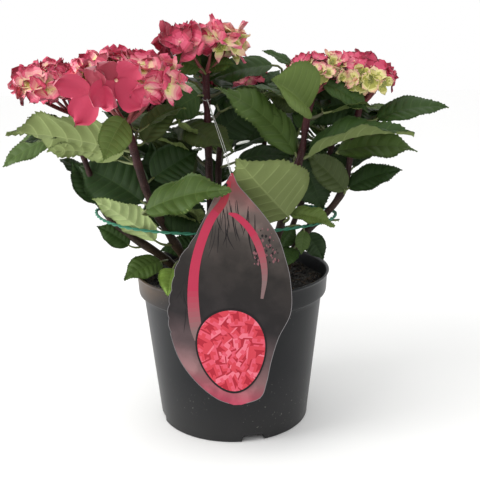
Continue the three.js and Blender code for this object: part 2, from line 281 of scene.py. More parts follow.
def petalMaterials():
    materials = {}
    for n, (tone, colour) in enumerate(petalTones):
        materials[n] = principled(f"petal-{tone}", colour, 0.6, (420, 0.0006, 0.3),
                                  **{"Sheen Weight": 0.25, "Sheen Roughness": 0.5})
    materials[petalStalk] = principled("flower-stalk", (0.200, 0.040, 0.042), 0.5, (600, 0.0003, 0.6))
    return materials


stemStyle = {
    "sides": 16,
    "step": 0.0035,
    "nodeSwell": 0.22,     # how far a joint of the stem stands proud, as a share
    "nodeLength": 0.006,
    "flute": 0.05,
}


def stemLine(name):
    # centre line and radius of a packed stem, from slices through its solid
    mesh = nodes[name].data
    points = np.array([v.co for v in mesh.vertices])
    edges = np.array([e.vertices[:] for e in mesh.edges])
    low, high = points[:, 2].min(), points[:, 2].max()
    heights = np.linspace(low + 0.002, high - 0.002, 40)
    line = []
    for height in heights:
        a, b = points[edges[:, 0]], points[edges[:, 1]]
        crosses = (a[:, 2] - height) * (b[:, 2] - height) < 0
        a, b = a[crosses], b[crosses]
        share = (height - a[:, 2]) / (b[:, 2] - a[:, 2])
        ring = a + (b - a) * share[:, None]
        centre = (ring.min(0) + ring.max(0)) / 2
        # the nearer half of the points, so that the corners don't count
        line.append([*centre, np.sort(np.linalg.norm(ring - centre, axis=1))[: len(ring) // 2].mean()])
    return np.array(line)


stemLines = {name[5:]: stemLine(name) for name in sorted(nodes) if name.startswith("stem_")}


def onStem(name, height):
    line = stemLines[name]
    return np.array([np.interp(height, line[:, 2], line[:, k]) for k in range(3)])


def stemRadius(name, height):
    line = stemLines[name]
    return float(np.interp(height, line[:, 2], line[:, 3]))


leafStyle = {
    "veins": 8,            # pairs of side veins
    "columns": [0.022, 0.15, 0.36, 0.60, 0.82, 1.0],
    "veinHalf": 0.05,      # half width of a side vein, in gaps between veins
    "sweep": 0.20,         # how far a side vein runs forward by the margin
    "tooth": 0.019,
    "quilt": 0.021,
    "thickness": 0.0005,
    "ridge": 0.0007,       # how far the veins stand out below
    "rim": 0.0002,         # thickness at the margin
    "steps": 40,           # steps of the middle line
    "stalkRadius": 0.0016,
}

halfColumns = np.array(leafStyle["columns"])
columnShares = np.concatenate([-halfColumns[::-1], halfColumns])
veinCount = leafStyle["veins"]


def rowPhases():
    h = leafStyle["veinHalf"]
    phases = [0.0]
    for k in range(veinCount):
        phases += [k + h, k + 0.27, k + 0.5, k + 0.73, k + 1 - h]
    return np.array(phases + [float(veinCount)])


phases = rowPhases()
rowCount, columnCount = len(phases), len(columnShares)


def bladeWidth(s):
    a, b = 0.58, 0.88
    peak = (a / (a + b)) ** a * (b / (a + b)) ** b
    s = np.clip(s, 0, 1)
    return s ** a * (1 - s) ** b / peak * (1 - 0.55 * np.clip((s - 0.70) / 0.25, 0, 1))


def bladeTopology():
    upper = gridFaces(rowCount, columnCount)
    size = rowCount * columnCount
    lower = upper[:, ::-1] + size
    i, j = np.meshgrid(np.arange(rowCount - 1), np.arange(columnCount - 1), indexing="ij")
    middle = phases[i] * 0.5 + phases[i + 1] * 0.5
    nearVein = np.abs(middle - np.round(middle)) < leafStyle["veinHalf"]
    inside = (np.abs(columnShares[j]) < 0.99) & (np.abs(columnShares[j + 1]) < 0.99)
    vein = ((nearVein & inside & (i > 0)) | (j == columnCount // 2 - 1)).ravel().astype(int)
    rims = []
    for edge in (0, columnCount - 1):
        a = np.arange(rowCount - 1) * columnCount + edge
        rim = np.stack([a, a + size, a + columnCount + size, a + columnCount], axis=1)
        rims.append(rim[:, ::-1] if edge == 0 else rim)
    quads = np.concatenate([upper, lower] + rims)
    kinds = np.concatenate([vein, 2 + vein, np.ones(len(rims[0]) * 2, int)])
    return quads, kinds


bladeQuads, bladeKinds = bladeTopology()


leafDefaults = {"sway": 0, "twist": 0, "fold": 12, "wave": 0.5, "curl": 0.10, "face": None, "roll": 0}


def makeLeaf(heap, rng, foot, base, tip, **look):
    # a closed toothed blade from base to tip, and its stalk from the foot on a stem or twig
    look = {**leafDefaults, **look}
    foot, base, tip = (np.array(p, float) for p in (foot, base, tip))
    chord = float(np.linalg.norm(tip - base))
    azimuth = math.atan2(tip[1] - base[1], tip[0] - base[0])
    rise = math.asin((tip[2] - base[2]) / chord)
    bend, sway = math.radians(look["bend"]), math.radians(look["sway"])
    length = chord / max(0.6, math.sin(bend / 2 + 1e-6) / (bend / 2 + 1e-6))
    steps = leafStyle["steps"]
    share = (np.arange(steps) + 0.5) / steps
    az = azimuth + sway * (share - 0.5)
    up = rise - bend * (share - 0.5)
    ahead = np.stack([np.cos(up) * np.cos(az), np.cos(up) * np.sin(az), np.sin(up)], axis=1)
    spine = np.concatenate([[base], base + np.cumsum(ahead, axis=0) * length / steps])
    ahead = np.concatenate([ahead, ahead[-1:]])
    az = np.concatenate([az, az[-1:]])
    grid = np.linspace(0, 1, steps + 1)

    t = columnShares[None, :]
    s0 = ((phases / veinCount) ** 1.06)[:, None]
    reach = np.clip(s0 / 0.12, 0, 1) * (1 - s0) ** 0.8
    s = s0 + leafStyle["sweep"] * np.abs(t) ** 1.4 * reach
    y = t * bladeWidth(s) * length * look["width"] / 2
    atRim = np.abs(t) > 0.99
    tooth = (np.arange(rowCount) % 2)[:, None] * leafStyle["tooth"] * length
    tooth = (tooth * rng.uniform(0.6, 1.3, (rowCount, 1))
             * np.clip(s0 / 0.15, 0, 1) * np.clip((1 - s0) / 0.06, 0, 1))
    y = y + np.where(atRim, np.sign(t) * tooth, 0)
    s = np.clip(s + np.where(atRim, 0.5 * tooth / length, 0), 0, 1)

    between = np.abs(np.sin(math.pi * phases))[:, None] ** 0.7
    across = np.clip(np.abs(t) / 0.3, 0, 1) * (1 - 0.55 * np.abs(t) ** 3)
    puff = (leafStyle["quilt"] * length * between * across
            * np.clip(s0 / 0.1, 0, 1) * np.clip((1 - s0) / 0.15, 0, 1))
    phase = rng.uniform(0, 2 * math.pi)
    ripple = 0.05 * look["wave"] * length * np.sin(14.5 * s + phase + np.sign(t) * 0.9) * t ** 2
    fold = math.radians(look["fold"]) * (1 - 0.35 * s)
    z = (np.abs(y) * np.sin(fold) + puff + ripple * np.clip(s0 / 0.2, 0, 1)
         - look["curl"] * np.abs(y) * np.abs(t) ** 3)
    y = y * np.cos(fold)

    def at(values):
        return np.stack([np.interp(s, grid, values[:, k]) for k in range(3)], axis=-1)

    centre, along = at(spine), at(ahead)
    along /= np.linalg.norm(along, axis=-1, keepdims=True)
    a = np.interp(s, grid, az)
    left = np.stack([-np.sin(a), np.cos(a), np.zeros_like(a)], axis=-1)
    over = np.cross(along, left)
    roll = math.radians(look["roll"])
    if look["face"] is not None:
        # turn the blade about its own line until its upper side looks this way
        middle = heading(math.degrees(azimuth), math.degrees(rise))
        leftMid = np.array([-math.sin(azimuth), math.cos(azimuth), 0])
        overMid = np.cross(middle, leftMid)
        want = np.array(look["face"], float)
        roll += math.atan2(-float(want @ leftMid), float(want @ overMid))
    roll = (roll + np.radians(look["twist"]) * (s - 0.5))[..., None]
    side = np.cos(roll) * left + np.sin(roll) * over
    normal = -np.sin(roll) * left + np.cos(roll) * over
    top = centre + side * y[..., None] + normal * z[..., None]
    ridge = (np.abs(t) < 0.03) * leafStyle["ridge"] * (1 - s) * 2
    sunk = leafStyle["thickness"] + ridge + 0.5 * leafStyle["ridge"] * (between < 0.4) * (np.abs(t) < 0.9)
    bottom = top - normal * np.where(atRim, leafStyle["rim"], sunk)[..., None]
    points = np.concatenate([top.reshape(-1, 3), bottom.reshape(-1, 3)])
    heap.put(points, bladeQuads, 4 * toneOrder.index(look["tone"]) + bladeKinds)

    # the stalk bends into the line of the blade, and is stouter on a long one
    pull = base - ahead[0] * float(np.linalg.norm(base - foot)) * 0.45
    radius = leafStyle["stalkRadius"] * (0.55 + 5 * length)
    heap.putTube(bowed(foot, pull, base + ahead[0] * 0.002, 7), np.linspace(radius * 1.2, radius * 0.8, 7),
                 6, stalkSlot)


print("helpers ready")


# the leaves, mass by mass
# a placed leaf: stem, height of its joint, blade base, blade tip (mm), upper side looks to, tone, width
# as a share of the length, bend, and what else its look needs
# a grown shoot, all numbers after the stem: height of the joint, azimuth, rise, reach (mm), leaves
leafPlan = {
    "far_left": [
        ("left_front", 326, (-112, -62, 327), (-242, -32, 345), (0.1, 0.76, 0.65), "pale", 0.5, 14,
         dict(fold=10, wave=0.9, twist=-14)),
        ("left", 322, (-196, 20, 336), (-267, 26, 298), (-0.2, -0.75, 0.6), "fresh", 0.4, 20),
        ("left_front", 312, (-122, -42, 314), (-201, -30, 322), (0.0, 0.85, 0.62), "pale", 0.38, 34,
         dict(fold=22, wave=0.8)),
        ("left", 322, 200, 4, 66, 2), ("left", 330, 120, 5, 80, 2)],
    "left": [
        ("left_front", 262, (-100, -24, 264), (-176, 12, 300), (0.15, -0.85, 0.5), "deep", 0.74, 22,
         dict(fold=10)),
        ("left", 250, (-156, 2, 258), (-184, 16, 306), (0.45, -0.85, 0.2), "deep", 0.56, 14),
        ("left", 262, 95, 20, 88, 3), ("left_front", 300, 120, 20, 84, 2)],
    "left_low": [
        ("left_front", 214, (-86, -36, 222), (-151, -50, 273), (0.35, 0.85, 0.3), "lime", 0.48, 18,
         dict(fold=16, wave=0.7)),
        ("left", 206, (-120, -2, 208), (-156, -4, 232), (0.1, -0.8, 0.55), "mid", 0.62, 20),
        ("left_front", 214, 130, 20, 78, 2)],
    "pot_left": [
        ("left", 186, (-82, -12, 191), (-122, -42, 178), (0.0, -0.6, 0.8), "fresh", 0.66, 30),
        ("left_front", 186, (-64, -74, 200), (-68, -108, 180), (0.1, -0.85, 0.4), "lime", 0.66, 34,
         dict(wave=0.9))],
    "left_front": [
        ("left_front", 352, (-108, -82, 362), (-128, -102, 322), (0.5, -0.82, 0.3), "pale", 0.74, 20,
         dict(fold=30)),
        ("left_front", 338, (-92, -50, 334), (-58, -30, 374), (-0.25, -0.9, 0.3), "olive", 0.56, 20),
        ("left_front", 334, 80, 14, 92, 3)],
    "left_inner": [
        ("left_front", 286, (-86, -34, 292), (-36, -10, 318), (0.0, -0.9, 0.4), "deep", 0.78, 14),
        ("left_front", 250, (-74, 8, 258), (-92, 14, 328), (0.1, -0.95, 0.2), "deep", 0.74, 14),
        ("centre", 286, (-42, -4, 292), (-90, -4, 331), (0.25, -0.85, 0.4), "olive", 0.6, 24),
        ("centre", 300, 150, 20, 80, 2)],
    "front": [
        ("left_front", 254, (-91, -72, 264), (0, -106, 291), (-0.15, -0.66, 0.72), "fresh", 0.46, 26,
         dict(fold=14, wave=0.8))],
    "centre_low": [
        ("centre", 196, (-38, 4, 204), (-84, 2, 200), (0.0, -0.8, 0.6), "deep", 0.56, 24),
        ("centre", 240, (-78, -26, 262), (-26, -18, 226), (0.2, -0.85, 0.5), "deep", 0.8, 14),
        ("centre", 226, 200, 20, 60, 2), ("centre", 220, -12, 20, 74, 2)],
    "centre": [
        ("centre_back", 292, (8, 24, 301), (72, 20, 304), (0.0, -0.45, 0.9), "deep", 0.52, 40),
        ("centre_back", 326, (-14, 26, 334), (46, 22, 374), (0.1, -0.9, 0.35), "deep", 0.74, 18),
        ("centre", 376, (-34, -14, 380), (-70, -18, 356), (0.1, -0.9, 0.4), "mid", 0.92, 20, dict(fold=14)),
        ("centre", 338, (-62, -10, 344), (3, -50, 323), (-0.1, -0.42, 0.9), "olive", 0.6, 34, dict(fold=8)),
        ("centre", 322, 196, 14, 70, 2), ("centre", 352, 40, 10, 80, 3)],
    "centre_top": [
        ("centre", 400, (-31, -20, 409), (-64, -26, 419), (0.0, -0.9, 0.42), "fresh", 0.8, 24),
        ("back_right", 366, (49, 26, 410), (-26, 14, 392), (0.1, -0.48, 0.87), "mid", 0.56, 26),
        ("centre", 400, (-22, -12, 408), (6, -22, 412), (0.1, -0.8, 0.55), "fresh", 0.66, 40),
        ("centre", 398, (-38, 6, 404), (-12, 8, 428), (0.1, -0.92, 0.3), "mid", 0.92, 20),
        ("centre", 378, 28, 0, 74, 2), ("centre", 386, 120, 4, 76, 3)],
    "centre_right": [
        ("right_front", 312, (70, -44, 318), (-16, -50, 390), (-0.35, -0.42, 0.84), "fresh", 0.42, 40,
         dict(fold=8, sway=8)),
        ("right_front", 322, 110, 22, 82, 3)],
    "big_pale": [
        ("right_front", 238, (62, -46, 250), (4, -100, 323), (-0.1, 0.9, 0.42), "pale", 0.86, -16,
         dict(fold=8, wave=0.3, curl=0.02, sway=-34))],
    "right_top": [
        ("right_front", 358, (83, -50, 367), (42, -82, 399), (0.74, -0.62, 0.26), "pale", 1.26, 16,
         dict(fold=42, wave=0.3)),
        ("right_front", 376, (72, -6, 408), (36, -8, 427), (0.3, -0.5, 0.8), "mid", 0.42, 20),
        ("right_front", 372, (100, -26, 392), (150, -34, 360), (0.35, -0.65, 0.67), "mid", 0.56, 30),
        ("right_front", 346, (80, -12, 368), (40, -12, 379), (0.05, -0.94, 0.3), "olive", 0.74, 14),
        ("right", 356, (137, 14, 367), (74, 8, 352), (0.0, -0.94, 0.34), "deep", 0.66, 16),
        ("right_front", 356, 20, 0, 80, 2), ("right_front", 362, 120, 10, 84, 3)],
    "right": [
        ("right_front", 312, (84, -46, 316), (194, -60, 338), (0.0, -0.12, 0.99), "mid", 0.5, 44,
         dict(fold=42, wave=0.6)),
        ("right", 312, (120, -10, 315), (208, -20, 316), (0.0, -0.52, 0.86), "fresh", 0.54, 34),
        ("right", 330, 60, 8, 88, 3)],
    "far_right": [
        ("right", 350, (164, -4, 350), (244, -6, 362), (-0.1, -0.5, 0.86), "mid", 0.5, 36, dict(wave=0.35)),
        ("right", 352, 80, 14, 84, 2)],
    "right_mid": [
        ("right_front", 300, (80, 2, 302), (106, 8, 244), (0.1, -0.95, 0.2), "deep", 0.74, 20),
        ("right", 264, (134, -4, 272), (194, -10, 293), (-0.1, -0.62, 0.76), "deep", 0.54, 30),
        ("right", 264, (130, -6, 270), (84, -12, 314), (-0.2, -0.85, 0.45), "olive", 0.54, 16,
         dict(fold=22)),
        ("right", 272, 80, 20, 88, 3)],
    "right_low": [
        ("right_front", 200, (56, -6, 204), (74, -10, 232), (0.0, -0.9, 0.4), "mid", 0.66, 20),
        ("right_front", 236, (66, -24, 247), (114, -42, 236), (0.0, -0.55, 0.8), "pale", 0.48, 40,
         dict(fold=20, wave=0.9)),
        ("right_front", 230, (82, -24, 228), (78, -32, 202), (0.2, -0.9, 0.2), "fresh", 0.66, 16),
        ("right", 218, (88, 16, 214), (108, 8, 184), (0.0, -0.9, 0.35), "deep", 0.7, 20),
        ("right", 206, (72, -10, 204), (58, -34, 188), (0.0, -0.6, 0.8), "mid", 0.66, 20),
        ("right", 224, 40, -4, 62, 2)],
    "back_left": [
        ("left_back", 312, 165, 8, 116, 5), ("left_back", 318, 95, 12, 122, 5),
        ("left_back", 330, 30, 10, 84, 4), ("left_back", 340, 230, 6, 70, 2)],
    "back_left_low": [
        ("left_back", 246, 140, 16, 108, 5), ("left_back", 240, 60, 16, 94, 4),
        ("left_back", 276, 110, 8, 100, 3)],
    "back_centre": [
        ("centre_back", 352, 118, 6, 122, 5), ("centre_back", 346, 55, 4, 112, 5),
        ("back_right", 330, 80, 6, 92, 4), ("back_right", 362, 100, 30, 66, 4)],
    "back_low": [
        ("centre_back", 250, 95, 14, 114, 5), ("back_right", 246, 50, 16, 104, 4),
        ("centre_back", 290, 80, 10, 108, 4)],
    "back_right": [
        ("right_back", 318, 100, 6, 126, 5), ("right_back", 322, 40, 8, 112, 5),
        ("right_back", 312, 150, 8, 84, 4)],
    "back_right_low": [
        ("right_back", 262, 75, 8, 98, 5), ("right_back", 256, 15, 10, 80, 4),
        ("right_back", 280, 110, 10, 96, 3)],
}

growStyle = {
    "twigShare": 0.24,      # length of a side shoot, as a share of its reach
    "twigRadius": 0.0021,
    "blade": 0.66,          # length of the leading blade, as a share of the reach
    "sideBlade": 0.52,
    "spread": 58,           # how far the next leaves of a shoot turn from the leading one
    "tones": ["deep", "deep", "mid", "mid", "fresh"],
}


def growShoot(heap, twigs, rng, stem, height, azimuth, rise, reach, count):
    # a short shoot off the stem, a leading leaf, and further leaves in turned pairs
    reach = reach / 1000
    foot = onStem(stem, height / 1000)
    share = growStyle["twigShare"]
    twig = bowed(foot, foot + heading(azimuth, rise - 6) * reach * share * 0.5,
                 foot + heading(azimuth, rise + 14) * reach * share, 6)
    twigs.putTube(twig, np.linspace(1.25, 0.8, 6) * growStyle["twigRadius"], 8, 0)
    turns = [0, growStyle["spread"], -growStyle["spread"], 8, 105]
    for n in range(count):
        lead = n == 0
        turn = azimuth + turns[n] + rng.uniform(-9, 9)
        lift = rise + rng.uniform(-6, 8) + (0 if lead else 10 if n < 3 else 30)
        length = reach * (growStyle["blade"] if lead else growStyle["sideBlade"] * (1 if n < 3 else 0.8))
        length *= rng.uniform(0.92, 1.08)
        start = twig[-1 if n != 3 else -3]
        base = start + heading(turn, lift + 6) * reach * (0.14 if lead else 0.16)
        tip = base + heading(turn, lift) * length
        makeLeaf(heap, rng, start, base, tip, width=rng.uniform(0.56, 0.70), bend=rng.uniform(22, 46),
                 sway=rng.uniform(-16, 16), roll=rng.uniform(-22, 22), fold=rng.uniform(6, 20),
                 wave=rng.uniform(0.3, 0.9), tone=str(rng.choice(growStyle["tones"])))


def growLeaves():
    materials = leafMaterials()
    twigs = Heap()
    total = 0
    for n, (name, rows) in enumerate(leafPlan.items()):
        rng = np.random.default_rng(100 + n)
        heap = Heap()
        for stem, height, *row in rows:
            if isinstance(row[0], tuple):
                base, tip, face, tone, width, bend, *more = row
                makeLeaf(heap, rng, onStem(stem, height / 1000), np.array(base) / 1000,
                         np.array(tip) / 1000, face=face, tone=tone, width=width, bend=bend,
                         **(more[0] if more else {}))
                total += 1
            else:
                growShoot(heap, twigs, rng, stem, height, *row)
                total += row[-1]
        settle(heap.mesh("foliage_" + name, materials), "leaves", "leaves_" + name)
    twigSkin = principled("twig-skin", (0.060, 0.062, 0.026), 0.55, (500, 0.0004, 0.6), (1, 1, 0.3))
    settle(twigs.mesh("side_twigs", {0: twigSkin}), "stem")
    print("leaves grown:", total)


def stemMaterial():
    material = principled("stem-skin", (0.06, 0.03, 0.02), 0.5, (420, 0.0006, 0.7), (1, 1, 0.25),
                          **specular(0.18))
    tree = material.node_tree
    place, _, z = spaceOf(tree)
    tone = ramp(tree, rescale(tree, z, 0.16, 0.36), [
        (0.0, (0.048, 0.034, 0.020)), (0.35, (0.026, 0.016, 0.011)),
        (0.7, (0.024, 0.008, 0.008)), (1.0, (0.046, 0.009, 0.013))])
    # pale lenticels, and darker and lighter stretches along the bark
    fleck = mask(tree, place, 700, 3, 0.58, 0.68)
    patch = ramp(tree, noise(tree, place, 60, 3), [(0.35, (0.6, 0.6, 0.6)), (0.65, (1.3, 1.3, 1.25))])
    toned = mixColours(tree, 0.8, tone, patch, "MULTIPLY")
    paint(tree, mixColours(tree, combine(tree, fleck, 0.55), toned, (0.110, 0.070, 0.048)))
    return material


def growStems():
    material = stemMaterial()
    joints = {}
    for rows in leafPlan.values():
        for stem, height, *_ in rows:
            joints.setdefault(stem, []).append(height / 1000)
    for n, (name, line) in enumerate(stemLines.items()):
        rng = np.random.default_rng(300 + n)
        low, high = line[0, 2] - 0.002, line[-1, 2] + 0.004
        heights = np.arange(low, high, stemStyle["step"])
        centre = np.stack([np.interp(heights, line[:, 2], line[:, k]) for k in range(3)], axis=1)
        centre[:, 2] = heights
        for _ in range(3):
            centre[1:-1] = (centre[:-2] + 2 * centre[1:-1] + centre[2:]) / 4
        radius = np.interp(heights, line[:, 2], line[:, 3])
        swell = sum(np.exp(-((heights - h) / stemStyle["nodeLength"]) ** 2) for h in joints.get(name, [0]))
        radius = radius * (0.96 + stemStyle["nodeSwell"] * np.minimum(swell, 1))
        sides = stemStyle["sides"]
        points, quads = tube(centre, radius, sides)
        rings = points[:len(heights) * sides].reshape(len(heights), sides, 3)
        wobble = 1 + stemStyle["flute"] * rng.uniform(-1, 1, (len(heights), sides))
        wobble = (wobble + np.roll(wobble, 1, axis=1)) / 2
        rings = centre[:, None] + (rings - centre[:, None]) * wobble[..., None]
        points[:len(heights) * sides] = rings.reshape(-1, 3)
        heap = Heap()
        heap.put(points, quads, 0)
        settle(heap.mesh(f"stem_{name}_bark", {0: material}), "stem", "stem_" + name)
    print("stems grown:", len(stemLines))


# flower heads: stem, centre, radius, height of the dome and depth below (mm); florets; sepal length (mm);
# ripeness of a floret, and how it changes to the right, upward, to the front and to the rim of a sepal
headDefaults = dict(point=0.3, right=0.0, up=0.06, front=0.0, pale=0.60)
headPlan = {
    "far_left": dict(stem="left", centre=(-195, 0, 390), radius=46, over=30, under=24, florets=46,
                     sepal=18, ripe=0.55, right=-0.07, up=0.10, pale=0.80),
    "left_front": dict(stem="left_front", centre=(-106, -80, 396), radius=63, over=38, under=26, florets=66,
                       sepal=19.5, ripe=0.555, right=0.03, pale=0.90),
    "top": dict(stem="centre", centre=(-29, -10, 432), radius=51, over=28, under=9, florets=34,
                sepal=18.5, point=0.9, ripe=0.585, right=-0.36, up=0.0, front=0.05, pale=0.70),
    "centre_back": dict(stem="centre_back", centre=(4, 100, 392), radius=42, over=22, under=16, florets=54,
                        sepal=14, ripe=0.68),
    "right_inner": dict(stem="right_front", centre=(96, -6, 400), radius=37, over=25, under=12, florets=64,
                        sepal=8.5, ripe=0.27, up=0.20, front=-0.08, pale=0.66),
    "right": dict(stem="right", centre=(146, 8, 392), radius=44, over=32, under=22, florets=74,
                  sepal=12, ripe=0.54, right=0.04, up=0.34, front=-0.34, pale=0.50),
    "right_back": dict(stem="right_back", centre=(138, 98, 380), radius=44, over=26, under=16, florets=54,
                       sepal=14, ripe=0.66),
    "left_back": dict(stem="left_back", centre=(-104, 98, 378), radius=46, over=26, under=18, florets=56,
                      sepal=14, ripe=0.68),
}
# a few wide florets: head, place (mm), looks to, sepal (mm), turn, ripeness, its change to the rim,
# breadth and cup
bigFlorets = [
    ("left_front", (-130, -134, 394), (-0.20, -0.94, -0.26), 31, 74, 0.89, 0.0, 0.92, 0.40),
    ("left_front", (-106, -138, 404), (0.14, -0.92, -0.36), 30, 62, 0.89, 0.0, 0.94, 0.42),
    ("right", (117, -12, 414), (-0.15, -0.50, 0.85), 15, 20, 0.60, 0.50, 1.0, 0.20),
    ("right", (136, -14, 413), (0.00, -0.62, 0.78), 17, 50, 0.72, 0.30, 1.0, 0.20),
    ("right", (154, -12, 407), (0.20, -0.76, 0.62), 18, 10, 0.84, 0.10, 1.0, 0.20),
    ("right", (168, -10, 398), (0.50, -0.72, 0.50), 16, 70, 0.78, 0.20, 1.0, 0.20),
    ("right_inner", (78, -22, 416), (-0.30, -0.45, 0.84), 11, 20, 0.80, 0.30, 1.0, 0.20),
    ("right_inner", (96, -20, 418), (0.10, -0.45, 0.88), 10, 60, 0.82, 0.30, 1.0, 0.20),
]
floretStyle = {
    "rows": [0.0, 0.12, 0.26, 0.42, 0.58, 0.74, 0.88, 1.0],
    "columns": [-1.0, -0.78, -0.5, -0.2, 0.2, 0.5, 0.78, 1.0],
    "cup": 0.20,
    "pedicelRadius": 0.00060,
    "branchRadius": 0.0022,
    "branches": 6,
    "fall": 1.22,          # how far the florets go down over the dome
    "lean": 0.24,          # how unevenly the florets look outward
    "mottle": 0.13,        # how unevenly they ripen
    "clearing": 0.75,      # room kept round a wide floret, in sepals
}
sepalRows = np.array(floretStyle["rows"])
sepalColumns = np.array(floretStyle["columns"])
sepalQuads = gridFaces(len(sepalRows), len(sepalColumns))


def putFloret(heap, rng, centre, outward, size, ripe, pale, sepals=4, turn=None, cup=None, point=0.5,
              ruffled=1.0, broad=1.0):
    # overlapping broad sepals around a small closed bud
    outward = unit(outward)
    a = unit(np.cross(outward, [0.21, 0.33, 0.92]))
    b = np.cross(outward, a)
    turn = rng.uniform(0, 2 * math.pi) if turn is None else math.radians(turn)
    cup = floretStyle["cup"] + rng.uniform(-0.12, 0.22) if cup is None else cup
    u, v = sepalRows[:, None], sepalColumns[None, :]
    for n in range(sepals):
        angle = turn + 2 * math.pi * n / sepals + rng.uniform(-0.10, 0.10)
        length = size * rng.uniform(0.88, 1.10)
        half = length * broad * rng.uniform(0.54, 0.68) * (4 / sepals) ** 0.5
        shape = ((u ** 0.62) * np.clip(1 - u ** (3.4 - 1.6 * point), 0, 1) ** (0.45 + 0.4 * point)
                 * (1.12 + 0.2 * point))
        across = v * half * shape
        along = length * (u - 0.12 * v ** 2 * u * (1 - point) + 0.10 * point * (1 - np.abs(v)) * u ** 4)
        ruffle = 0.07 * ruffled * length * np.sin(5.0 * v + 2.0 * u + rng.uniform(0, 6.3)) * u ** 2
        lift = length * (cup * u ** 2 * 1.1 + 0.20 * v ** 2 * u * rng.uniform(-0.4, 1.0)) + ruffle
        lift = lift + 0.0006 * (n % 2)
        ahead = math.cos(angle) * a + math.sin(angle) * b
        side = -math.sin(angle) * a + math.cos(angle) * b
        grid = centre + ahead * along[..., None] + side * across[..., None] + outward * lift[..., None]
        # paler at the heart, deeper towards the margin
        uMid, vMid = (u[:-1] + u[1:]) / 2, (v[:, :-1] + v[:, 1:]) / 2
        rim = np.maximum(uMid, np.abs(vMid) * uMid ** 0.5)
        blotch = 0.012 * min(1, 3 * pale)
        value = (ripe + rng.uniform(-0.07, 0.07) + pale * (rim - 0.62)
                 + rng.uniform(-blotch, blotch, rim.shape))
        tone = np.clip(np.round(value * (len(petalTones) - 1)), 0, len(petalTones) - 1).astype(int)
        heap.put(grid.reshape(-1, 3), sepalQuads, tone.ravel())
    heap.putTube([centre, centre + outward * size * 0.10, centre + outward * size * 0.17],
                 [size * 0.03, size * 0.065, size * 0.025], 6, min(3, max(1, int(ripe * 6))))


def growHead(name, plan, materials, seed):
    plan = {**headDefaults, **plan}
    rng = np.random.default_rng(seed)
    heap = Heap()
    centre = np.array(plan["centre"]) / 1000
    radius, over, under = (plan[key] / 1000 for key in ("radius", "over", "under"))
    size, count = plan["sepal"] / 1000, plan["florets"]
    stemTop = stemLines[plan["stem"]][-1, :3]
    drop = centre - np.array([0, 0, under * 0.6])
    golden = math.pi * (3 - 5 ** 0.5)
    hubs = []
    for k in range(floretStyle["branches"]):
        angle = 2 * math.pi * k / floretStyle["branches"] + rng.uniform(-0.3, 0.3)
        spread = 0.50 * radius * np.array([math.cos(angle), math.sin(angle), 0])
        hubs.append(drop + spread + np.array([0, 0, under * rng.uniform(0.0, 0.35)]))
        middle = stemTop * 0.6 + hubs[-1] * 0.4 + spread * 0.2
        heap.putTube(bowed(stemTop, middle, hubs[-1], 7),
                     np.linspace(1.1, 0.6, 7) * floretStyle["branchRadius"], 6, petalStalk)
    hubs = np.array(hubs + [drop + [0, 0, 0.004]])

    def pedicel(spot, sag, stout):
        hub = hubs[np.argmin(np.linalg.norm(hubs - spot, axis=1))]
        heap.putTube([hub, (hub + spot) / 2 - [0, 0, sag], spot],
                     floretStyle["pedicelRadius"] * stout, 5, petalStalk)

    wide = [entry for entry in bigFlorets if entry[0] == name]
    for n in range(count):
        # evenly spread over the dome, down to a little under its widest line
        level = 1 - (n + 0.5) / count * floretStyle["fall"]
        ring = math.sqrt(max(0.0, 1 - level * level))
        angle = golden * n + rng.uniform(-0.2, 0.2)
        inner = 1 - (n % 4 == 3) * 0.20
        way = np.array([ring * math.cos(angle), ring * math.sin(angle), level])
        height = over if level > 0 else under
        reach = inner * rng.uniform(0.95, 1.04)
        dome = np.array([radius - size * 0.72, radius - size * 0.72, height - size * 0.62])
        spot = centre + way * dome * reach
        if any(np.linalg.norm(spot * 1000 - entry[1]) < floretStyle["clearing"] * entry[3]
               for entry in wide):
            continue
        outward = unit(way / np.array([radius, radius, height])) + rng.normal(0, floretStyle["lean"], 3)
        ripe = (plan["ripe"] + plan["right"] * way[0] + plan["up"] * level - plan["front"] * way[1]
                + rng.normal(0, floretStyle["mottle"]))
        sepals = 5 if rng.random() < 0.25 else 4
        grown = size * rng.uniform(0.86, 1.14) * (0.8 if inner < 1 else 1)
        putFloret(heap, rng, spot, outward, grown, ripe, plan["pale"], sepals,
                  point=plan["point"] * rng.uniform(0.5, 1.1))
        pedicel(spot, 0.002, 1)
    for _, place, look, sepal, turn, ripe, pale, broad, cup in wide:
        spot = np.array(place) / 1000
        putFloret(heap, rng, spot, np.array(look), sepal / 1000, ripe, pale, 4, turn, cup, 0.2, 1.8, broad)
        pedicel(spot, 0, 1.6)
    settle(heap.mesh("bloom_" + name, materials), "bloom", "head_" + name)


def growHeads():
    materials = petalMaterials()
    for n, (name, plan) in enumerate(headPlan.items()):
        growHead(name, plan, materials, 500 + n)
    print("heads grown:", len(headPlan))


potLook = {
    "turns": 288,
    "notchCount": 4, "notchHalf": 0.0125, "notchHeight": 0.0062, "notchDepth": 0.0066, "notchTurn": -76,
    "foot": 0.0882, "shoulder": 0.1042,     # radii of the wall, below and above
    "colour": (0.024, 0.026, 0.028), "dust": (0.120, 0.115, 0.105), "dirt": (0.060, 0.040, 0.026),
}


